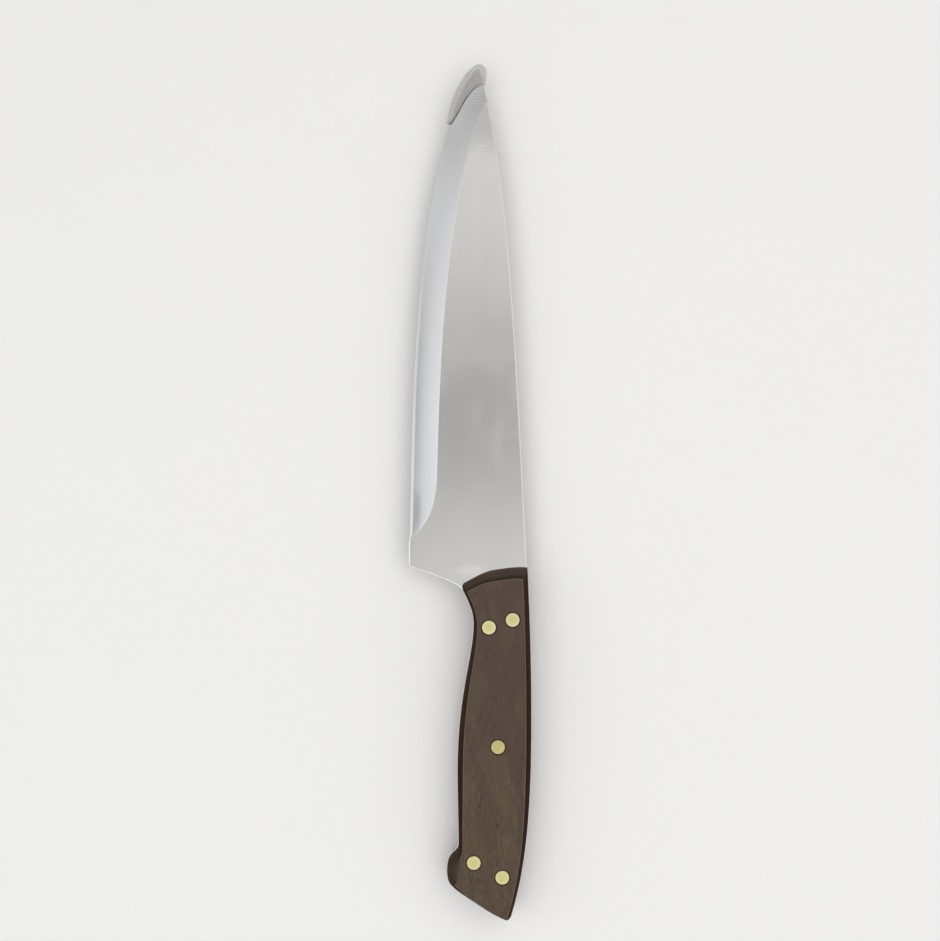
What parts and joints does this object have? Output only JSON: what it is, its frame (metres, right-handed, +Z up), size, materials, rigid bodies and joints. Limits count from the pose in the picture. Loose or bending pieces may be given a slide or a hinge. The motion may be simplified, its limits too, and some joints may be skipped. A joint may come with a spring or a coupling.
{
  "type": "barbecue knife",
  "caption": "Full-tang barbecue knife with a hollow-ground satin blade, riveted dark wood scales and a soft plastic guard that pulls off the tip.",
  "frame": {"origin": "on the lower scale's flat outer face, on which the knife lies, behind the front rivets", "axes": "+Y along the knife to the tip, +X to the spine and -X to the cutting edge, +Z up through the handle's thickness to the pictured side"},
  "size_m": [0.0498, 0.3439, 0.018],
  "materials": {
    "satin_steel": "satin, brushed across the blade",
    "dark_wood": "dark brown, oiled, fine lengthwise grain",
    "brass": "ground flush",
    "clear_plastic": "translucent and soft"
  },
  "bodies": {
    "knife": {"blade": "satin_steel", "scale_upper": "dark_wood", "scale_lower": "dark_wood", "rivet_female_1": "brass", "rivet_female_2": "brass", "rivet_female_3": "brass", "rivet_female_4": "brass", "rivet_female_5": "brass", "rivet_male_1": "brass", "rivet_male_2": "brass", "rivet_male_3": "brass", "rivet_male_4": "brass", "rivet_male_5": "brass"},
    "tip_guard": {"tip_guard": "clear_plastic"}
  },
  "joints": [
    {"name": "tip_guard_slide", "type": "slide", "parent": "knife", "child": "tip_guard", "axis": [0, 1, 0], "range_m": [0, 0.035]}
  ]
}
